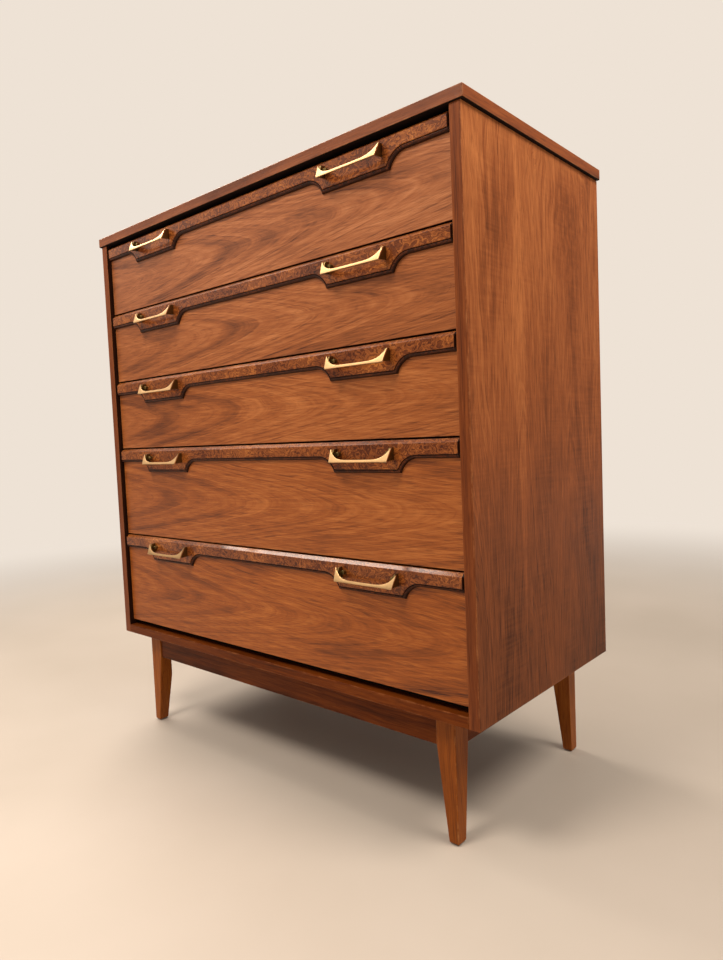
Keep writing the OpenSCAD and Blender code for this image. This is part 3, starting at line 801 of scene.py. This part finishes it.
def drawer_front(i, material):
    """The panel of a drawer, with sockets for the dovetails, the groove of the bottom and the screw holes."""
    low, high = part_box(f"drawer_{i}_front")
    side_low, side_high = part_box(f"drawer_{i}_sides")
    bottom_low, bottom_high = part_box(f"drawer_{i}_bottom")
    screw_low, screw_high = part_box(f"drawer_{i}_pull_screws")
    pitch = (side_high[Z] - side_low[Z]) / TAIL_COUNT[i]
    tail = pitch / 3
    half = tail - TAIL_SLOPE
    inner, outer = high[X] - BOARD - JOINT, high[X] + PAST
    cutters = []
    for side in (-1, 1):
        for k in range(TAIL_COUNT[i]):
            z = side_low[Z] + (k + 0.5) * pitch
            outline = [(high[Y] + PAST, z - half - JOINT), (high[Y] + PAST, z + half + JOINT),
                       (side_low[Y] - JOINT, z + tail + JOINT), (side_low[Y] - JOINT, z - tail - JOINT)]
            cutters.append(prism(outline, X, *sorted((side * inner, side * outer))))
        for end in (-1, 1):
            hole = bmesh.new()
            x = side * PULL_AT + end * BOSS_AT
            lathe(hole, [(SCREW_HOLE, low[Y] - PAST), (SCREW_HOLE, high[Y] + PAST)],
                  (x * MM, 0, (screw_low[Z] + screw_high[Z]) / 2), (0, 1, 0), 16)
            cutters.append(hole)
    groove = [bottom_low - Vector((JOINT, JOINT, 0)), bottom_high + Vector((JOINT, 0, JOINT))]
    cutters.append(board_mesh(*groove, 0.00001, 1))
    bm = boolean("DIFFERENCE", [board_mesh(low, high, 0.0010)] + cutters)
    bm.normal_update()
    # The underside of the panel gets painted shade.
    for face in bm.faces:
        underside = face.normal.z < -0.9 and face.calc_center_median().z < low[Z] + 0.001
        face.material_index = int(underside)
    piece(f"drawer_{i}_panel", mesh_of(bm, f"drawer_{i}_panel"), f"drawer_{i}",
          (material, underside_shade), [f"drawer_{i}_front"])


side_wood = wood("drawer_maple_side", Y, MAPLE, heart=(0.7, 0.35), seed=3.1, roughness=0.5)
back_wood = wood("drawer_maple_back", X, MAPLE, heart=(0.7, 0.35), seed=3.4, roughness=0.5)
ply_wood = wood("drawer_ply", X, PLY, heart=(0.0, -0.2), taper=0.08, seed=5.2, roughness=0.5)
for i in DRAWERS:
    low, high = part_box(f"drawer_{i}_front")
    heart = (low[Z] + 0.43 * (high[Z] - low[Z]), low[Y] + 0.03)
    warmth = (i - 1) / 4  # the lower fronts are a little darker and redder
    veneer = (WALNUT[0], linear(156 - 2 * warmth, 92 - 11 * warmth, 52 - 24 * warmth),
              linear(206, 138 - 12 * warmth, 90 - 32 * warmth), WALNUT[3])
    drawer_front(i, wood(
        f"walnut_drawer_{i}", X, veneer, heart=heart, taper=0.125, seed=0.6 + 0.12 * i, box=(low, high),
        ring=0.0072, drift=0.011, flame=0.8, **SATIN))
    refined(f"drawer_{i}_sides", side_wood, 0.0005)
    refined(f"drawer_{i}_back", back_wood, 0.0006)
    paint(f"drawer_{i}_bottom", ply_wood)

# Each board: the direction of its grain, its slot, its palette, the width of its rounded edges, its figure.
BOARDS = {
    "top_panel": (X, "walnut_veneer", WALNUT, 0.0016,
                  dict(heart=(1.15, 0.02), taper=0.06, wear=0.7, ring=0.008, **SATIN)),
    "bottom_panel": (X, "walnut_edge", RED_WALNUT, 0.001, dict(heart=(0.15, -0.1), **DULL)),
    "apron_front": (X, "base_walnut", RED_WALNUT, 0.0012, dict(heart=(0.1, -0.1), wear=0.6, **DULL)),
    "apron_rear": (X, "base_walnut", RED_WALNUT, 0.0012, dict(heart=(0.12, 0.1), wear=0.4, **DULL)),
    "side_aprons": (Y, "base_walnut", RED_WALNUT, 0.0012, dict(heart=(0.1, 0.0), wear=0.0, **DULL)),
    "back_panel": (Z, "plywood", PLY, 0.0005, dict(
        heart=(0.06, 0.33), taper=0.09, wear=0.2, roughness=0.6, contrast=0.45, drift=0.03)),
}
for number, (node, (along, slot, palette, width, figure)) in enumerate(BOARDS.items()):
    material = wood(f"wood_{node}", along, palette, seed=4.0 + 0.7 * number, box=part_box(node), **figure)
    board = refined(node, material, width, 3)
    if node == "top_panel":
        for extra in (long_edge, cross_edge, underside_shade):
            board.data.materials.append(extra)
        for face in board.data.polygons:
            if abs(face.normal.z) < 0.6:
                face.material_index = 1 if abs(face.normal.y) > abs(face.normal.x) else 2
            # Undersides get painted shade.
            elif face.normal.z < 0:
                face.material_index = 3

for number, node in enumerate(["leg_front_left", "leg_front_right", "leg_rear_left", "leg_rear_right"]):
    low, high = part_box(node)
    material = wood(
        f"walnut_{node}", Z, LEG_WALNUT, heart=(low[Y] - 0.03, low[X] - 0.02), taper=0.03, seed=7 + number,
        box=(low, high), wear=0.7, ring=0.0045, contrast=0.45, veins=0.4, Specular_IOR_Level=0.14)
    refined(node, material, 0.002, 3)

# The front edges of the frames, seen in the gaps, are darkened with painted shade up to here, in depth.
SHADE_FROM, SHADE_TO = -0.184, -0.180


def shaded_front(t, tone, wander):
    """The tone of a frame, with painted shade much darker in front of an uneven line."""
    y = t.split(t.place)[1]
    line = t.math("MULTIPLY_ADD", wander, 0.012, y)
    return t.math("ADD", tone, t.span(line, SHADE_FROM, SHADE_TO, -1.2, 0.0))


# Nearly black at its dark end, for the painted shade on the frames' front edges.
frame_wood = wood("frame_poplar", X, SHADED_POPLAR, heart=(0.4, 0.3), seed=2.2, roughness=0.65,
                  extra=shaded_front)
for node in ["top_frame", "bottom_runners", "corner_blocks"] + [f"divider_frame_{k}" for k in range(1, 5)]:
    paint(node, frame_wood)


# ---- floor and light ------------------------------------------------------------

BACKDROP = linear(238, 226, 213)
FLOOR = ((0.3, linear(190, 181, 170)), (0.7, linear(196, 187, 177)))
FLOOR_RADIUS = 9.0
FADE_FROM, FADE_TO = 1.2, 3.6  # from the middle of the floor
WARM = (1.0, 0.88, 0.76)
AMBIENT = 0.34
# Each lamp: its place, what it points at, its diameter in metres and its power in watts.
LAMPS = {
    "key": ((-0.1, -1.7, 2.8), (0, -0.2, 0.8), 0.9, 56),
    "left": ((-1.9, -1.5, 2.5), (0, -0.2, 0.8), 2.8, 17),
    "side": ((1.8, 0.1, 2.6), (0.48, 0, 1.0), 1.1, 50),
    "top": ((-1.8, 0.2, 2.7), (0.2, -0.2, 0.9), 1.9, 72),
}


def floor():
    """A pale round floor that fades into the backdrop."""
    bm = bmesh.new()
    bmesh.ops.create_circle(bm, cap_ends=True, segments=96, radius=FLOOR_RADIUS)
    o = bpy.data.objects.new("floor", mesh_of(bm, "floor"))
    scene.collection.objects.link(o)
    t = Tree("floor_pale", Specular_IOR_Level=0.35)
    speck = t.noise(t.place, scale=3.0, detail=4.0)
    o.data.materials.append(t.finish(t.ramp(speck, *FLOOR), t.span(speck, 0.3, 0.7, 0.5, 0.6)))
    away = t.span(t.vector("LENGTH", t.place, output=1), FADE_FROM, FADE_TO, smooth=True)
    glow = t.node("ShaderNodeEmission", {"Color": BACKDROP})
    blend = t.node("ShaderNodeMixShader", {0: away, 1: t.shader.outputs[0], 2: glow.outputs[0]})
    t.tree.links.new(blend.outputs[0], t.tree.nodes["Material Output"].inputs[0])


def lamp(name, place, target, size, power):
    """A round warm area lamp that points at the target."""
    light = bpy.data.lights.new(name, "AREA")
    light.shape = "DISK"
    light.size = size
    light.energy = power
    light.color = WARM
    o = bpy.data.objects.new(name, light)
    scene.collection.objects.link(o)
    o.location = place
    o.rotation_euler = (Vector(target) - Vector(place)).to_track_quat("-Z", "Y").to_euler()


def studio():
    """A warm ambient light, which the camera sees as the plain backdrop."""
    world = bpy.data.worlds.new("studio")
    world.use_nodes = True
    tree = world.node_tree
    lit = tree.nodes["Background"]
    lit.inputs["Color"].default_value = (*WARM, 1)
    lit.inputs["Strength"].default_value = AMBIENT
    seen = tree.nodes.new("ShaderNodeBackground")
    seen.inputs["Color"].default_value = BACKDROP
    path = tree.nodes.new("ShaderNodeLightPath")
    either = tree.nodes.new("ShaderNodeMixShader")
    tree.links.new(path.outputs["Is Camera Ray"], either.inputs[0])
    tree.links.new(lit.outputs[0], either.inputs[1])
    tree.links.new(seen.outputs[0], either.inputs[2])
    tree.links.new(either.outputs[0], tree.nodes["World Output"].inputs[0])
    scene.world = world


floor()
studio()
for name, (place, target, size, power) in LAMPS.items():
    lamp(name, place, target, size, power)
scene.view_settings.view_transform = "Standard"
